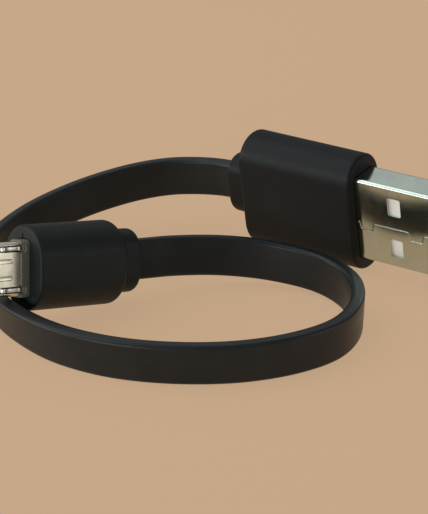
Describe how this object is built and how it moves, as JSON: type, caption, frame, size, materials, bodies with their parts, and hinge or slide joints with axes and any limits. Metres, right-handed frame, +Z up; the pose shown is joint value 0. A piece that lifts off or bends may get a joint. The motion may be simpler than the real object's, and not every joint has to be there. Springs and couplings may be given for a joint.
{
  "type": "charging cable",
  "caption": "Short flat charging cable: a USB-A plug and a Micro-USB B plug on a ribbon that stands on edge in one loose loop.",
  "frame": {"origin": "on the table, at the bottom centre of the box around the two plugs", "axes": "+Z up from the table, +X across the loop towards the side that the USB-A plug points to, +Y towards the USB-A plug's side of the loop"},
  "size_m": [0.0633, 0.053, 0.017],
  "materials": {
    "ribbon_jacket": "satin moulded thermoplastic elastomer, charcoal black",
    "overmould": "fine-grained soft PVC, near black, semi-matte",
    "inner_mould": "dark grey moulded plastic, matte",
    "usb_a_shell_metal": "nickel-plated steel, warm, softly bead-blasted",
    "micro_shell_metal": "nickel-plated steel, pale and warm, softly bead-blasted",
    "spring_steel": "bright polished spring steel",
    "gold_contact": "gold-plated copper alloy",
    "white_insulator": "white moulded plastic",
    "black_insulator": "black moulded plastic",
    "wire_red": "red PVC insulation",
    "wire_white": "white PVC insulation",
    "wire_green": "green PVC insulation",
    "wire_black": "black PVC insulation"
  },
  "bodies": {
    "plugs_and_ribbon": {"cable_jacket": "ribbon_jacket", "usb_a_overmould": "overmould", "usb_a_inner_mould": "inner_mould", "usb_a_shell": "usb_a_shell_metal", "usb_a_insulator": "white_insulator", "micro_overmould": "overmould", "micro_inner_mould": "inner_mould", "micro_shell": "micro_shell_metal", "micro_insulator": "black_insulator", "usb_a_contact_gnd": "gold_contact", "usb_a_contact_d_plus": "gold_contact", "usb_a_contact_d_minus": "gold_contact", "usb_a_contact_vbus": "gold_contact", "usb_a_wire_black": "wire_black", "micro_wire_black": "wire_black", "usb_a_wire_green": "wire_green", "micro_wire_green": "wire_green", "usb_a_wire_white": "wire_white", "micro_wire_white": "wire_white", "usb_a_wire_red": "wire_red", "micro_wire_red": "wire_red"},
    "micro_latch_lower": {"micro_latch_lower": "spring_steel"},
    "micro_latch_upper": {"micro_latch_upper": "spring_steel"},
    "micro_contact_vbus": {"micro_contact_vbus": "gold_contact"},
    "micro_contact_d_minus": {"micro_contact_d_minus": "gold_contact"},
    "micro_contact_d_plus": {"micro_contact_d_plus": "gold_contact"},
    "micro_contact_id": {"micro_contact_id": "gold_contact"},
    "micro_contact_gnd": {"micro_contact_gnd": "gold_contact"}
  },
  "joints": [
    {"name": "latch_lower_press", "type": "hinge", "parent": "plugs_and_ribbon", "child": "micro_latch_lower", "pos_m": [-0.02266, -0.01351, 0.00561], "axis": [-0.006, -0.2899, -0.957], "range_deg": [0, 3.4], "stiffness_Nm_per_rad": 0.3},
    {"name": "latch_upper_press", "type": "hinge", "parent": "plugs_and_ribbon", "child": "micro_latch_upper", "pos_m": [-0.02263, -0.012, 0.01059], "axis": [-0.006, -0.2899, -0.957], "range_deg": [0, 3.4], "stiffness_Nm_per_rad": 0.3},
    {"name": "contact_vbus_flex", "type": "hinge", "parent": "plugs_and_ribbon", "child": "micro_contact_vbus", "pos_m": [-0.02181, -0.01091, 0.00889], "axis": [-0.006, -0.2899, -0.957], "range_deg": [0, 1], "stiffness_Nm_per_rad": 0.25},
    {"name": "contact_d_minus_flex", "type": "hinge", "parent": "plugs_and_ribbon", "child": "micro_contact_d_minus", "pos_m": [-0.02182, -0.0111, 0.00827], "axis": [-0.006, -0.2899, -0.957], "range_deg": [0, 1], "stiffness_Nm_per_rad": 0.25},
    {"name": "contact_d_plus_flex", "type": "hinge", "parent": "plugs_and_ribbon", "child": "micro_contact_d_plus", "pos_m": [-0.02182, -0.01129, 0.00765], "axis": [-0.006, -0.2899, -0.957], "range_deg": [0, 1], "stiffness_Nm_per_rad": 0.25},
    {"name": "contact_id_flex", "type": "hinge", "parent": "plugs_and_ribbon", "child": "micro_contact_id", "pos_m": [-0.02183, -0.01148, 0.00703], "axis": [-0.006, -0.2899, -0.957], "range_deg": [0, 1], "stiffness_Nm_per_rad": 0.25},
    {"name": "contact_gnd_flex", "type": "hinge", "parent": "plugs_and_ribbon", "child": "micro_contact_gnd", "pos_m": [-0.02183, -0.01167, 0.0064], "axis": [-0.006, -0.2899, -0.957], "range_deg": [0, 1], "stiffness_Nm_per_rad": 0.25}
  ]
}
